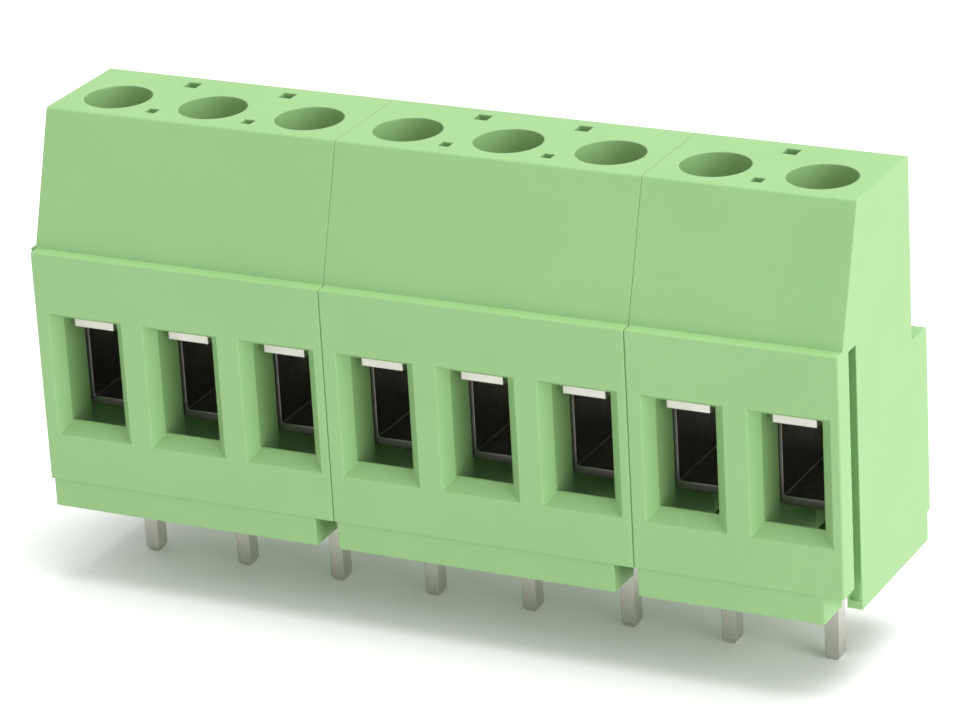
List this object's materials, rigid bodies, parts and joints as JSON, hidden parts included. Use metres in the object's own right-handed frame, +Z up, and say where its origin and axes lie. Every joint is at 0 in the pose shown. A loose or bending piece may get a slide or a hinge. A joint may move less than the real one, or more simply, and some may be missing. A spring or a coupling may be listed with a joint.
{
  "type": "pcb screw terminal",
  "caption": "Light-green row of interlocking through-hole screw terminals with rising clamp cages, flared wire mouths, top driver holes and solder pins.",
  "frame": {"origin": "on the board's face, in the middle of the row, on the line of the solder pins", "axes": "+X along the row to the right as seen from the wire side, -Y the side the wires enter, +Z up from the board"},
  "size_m": [0.0412, 0.0104, 0.0232],
  "materials": {
    "housing": "moulded light-green polyamide, fine satin texture",
    "contact": "tin-plated brass strip, satin",
    "cage": "nickel-plated folded steel",
    "screw": "zinc-plated steel, slotted head"
  },
  "bodies": {
    "base": {"left_three_way_housing": "housing", "middle_three_way_housing": "housing", "right_two_way_housing": "housing", "contact_1": "contact", "contact_2": "contact", "contact_3": "contact", "contact_4": "contact", "contact_5": "contact", "contact_6": "contact", "contact_7": "contact", "contact_8": "contact"},
    "screw_1": {"clamp_screw_1": "screw"},
    "cage_1": {"clamp_cage_1": "cage"},
    "screw_2": {"clamp_screw_2": "screw"},
    "cage_2": {"clamp_cage_2": "cage"},
    "screw_3": {"clamp_screw_3": "screw"},
    "cage_3": {"clamp_cage_3": "cage"},
    "screw_4": {"clamp_screw_4": "screw"},
    "cage_4": {"clamp_cage_4": "cage"},
    "screw_5": {"clamp_screw_5": "screw"},
    "cage_5": {"clamp_cage_5": "cage"},
    "screw_6": {"clamp_screw_6": "screw"},
    "cage_6": {"clamp_cage_6": "cage"},
    "screw_7": {"clamp_screw_7": "screw"},
    "cage_7": {"clamp_cage_7": "cage"},
    "screw_8": {"clamp_screw_8": "screw"},
    "cage_8": {"clamp_cage_8": "cage"}
  },
  "joints": [
    {"name": "turn_screw_1", "type": "hinge", "parent": "base", "child": "screw_1", "pos_m": [-0.01778, 0, 0.0167], "axis": [0, 0, 1], "range_deg": [-3200, 0]},
    {"name": "lift_cage_1", "type": "slide", "parent": "base", "child": "cage_1", "axis": [0, 0, 1], "range_m": [0, 0.004]},
    {"name": "turn_screw_2", "type": "hinge", "parent": "base", "child": "screw_2", "pos_m": [-0.0127, 0, 0.0167], "axis": [0, 0, 1], "range_deg": [-3200, 0]},
    {"name": "lift_cage_2", "type": "slide", "parent": "base", "child": "cage_2", "axis": [0, 0, 1], "range_m": [0, 0.004]},
    {"name": "turn_screw_3", "type": "hinge", "parent": "base", "child": "screw_3", "pos_m": [-0.00762, 0, 0.0167], "axis": [0, 0, 1], "range_deg": [-3200, 0]},
    {"name": "lift_cage_3", "type": "slide", "parent": "base", "child": "cage_3", "axis": [0, 0, 1], "range_m": [0, 0.004]},
    {"name": "turn_screw_4", "type": "hinge", "parent": "base", "child": "screw_4", "pos_m": [-0.00254, 0, 0.0167], "axis": [0, 0, 1], "range_deg": [-3200, 0]},
    {"name": "lift_cage_4", "type": "slide", "parent": "base", "child": "cage_4", "axis": [0, 0, 1], "range_m": [0, 0.004]},
    {"name": "turn_screw_5", "type": "hinge", "parent": "base", "child": "screw_5", "pos_m": [0.00254, 0, 0.0167], "axis": [0, 0, 1], "range_deg": [-3200, 0]},
    {"name": "lift_cage_5", "type": "slide", "parent": "base", "child": "cage_5", "axis": [0, 0, 1], "range_m": [0, 0.004]},
    {"name": "turn_screw_6", "type": "hinge", "parent": "base", "child": "screw_6", "pos_m": [0.00762, 0, 0.0167], "axis": [0, 0, 1], "range_deg": [-3200, 0]},
    {"name": "lift_cage_6", "type": "slide", "parent": "base", "child": "cage_6", "axis": [0, 0, 1], "range_m": [0, 0.004]},
    {"name": "turn_screw_7", "type": "hinge", "parent": "base", "child": "screw_7", "pos_m": [0.0127, 0, 0.0167], "axis": [0, 0, 1], "range_deg": [-3200, 0]},
    {"name": "lift_cage_7", "type": "slide", "parent": "base", "child": "cage_7", "axis": [0, 0, 1], "range_m": [0, 0.004]},
    {"name": "turn_screw_8", "type": "hinge", "parent": "base", "child": "screw_8", "pos_m": [0.01778, 0, 0.0167], "axis": [0, 0, 1], "range_deg": [-3200, 0]},
    {"name": "lift_cage_8", "type": "slide", "parent": "base", "child": "cage_8", "axis": [0, 0, 1], "range_m": [0, 0.004]}
  ],
  "couplings": [
    {"joint": "turn_screw_1", "follows": "lift_cage_1", "rad_per_m": -13963},
    {"joint": "turn_screw_2", "follows": "lift_cage_2", "rad_per_m": -13963},
    {"joint": "turn_screw_3", "follows": "lift_cage_3", "rad_per_m": -13963},
    {"joint": "turn_screw_4", "follows": "lift_cage_4", "rad_per_m": -13963},
    {"joint": "turn_screw_5", "follows": "lift_cage_5", "rad_per_m": -13963},
    {"joint": "turn_screw_6", "follows": "lift_cage_6", "rad_per_m": -13963},
    {"joint": "turn_screw_7", "follows": "lift_cage_7", "rad_per_m": -13963},
    {"joint": "turn_screw_8", "follows": "lift_cage_8", "rad_per_m": -13963}
  ]
}
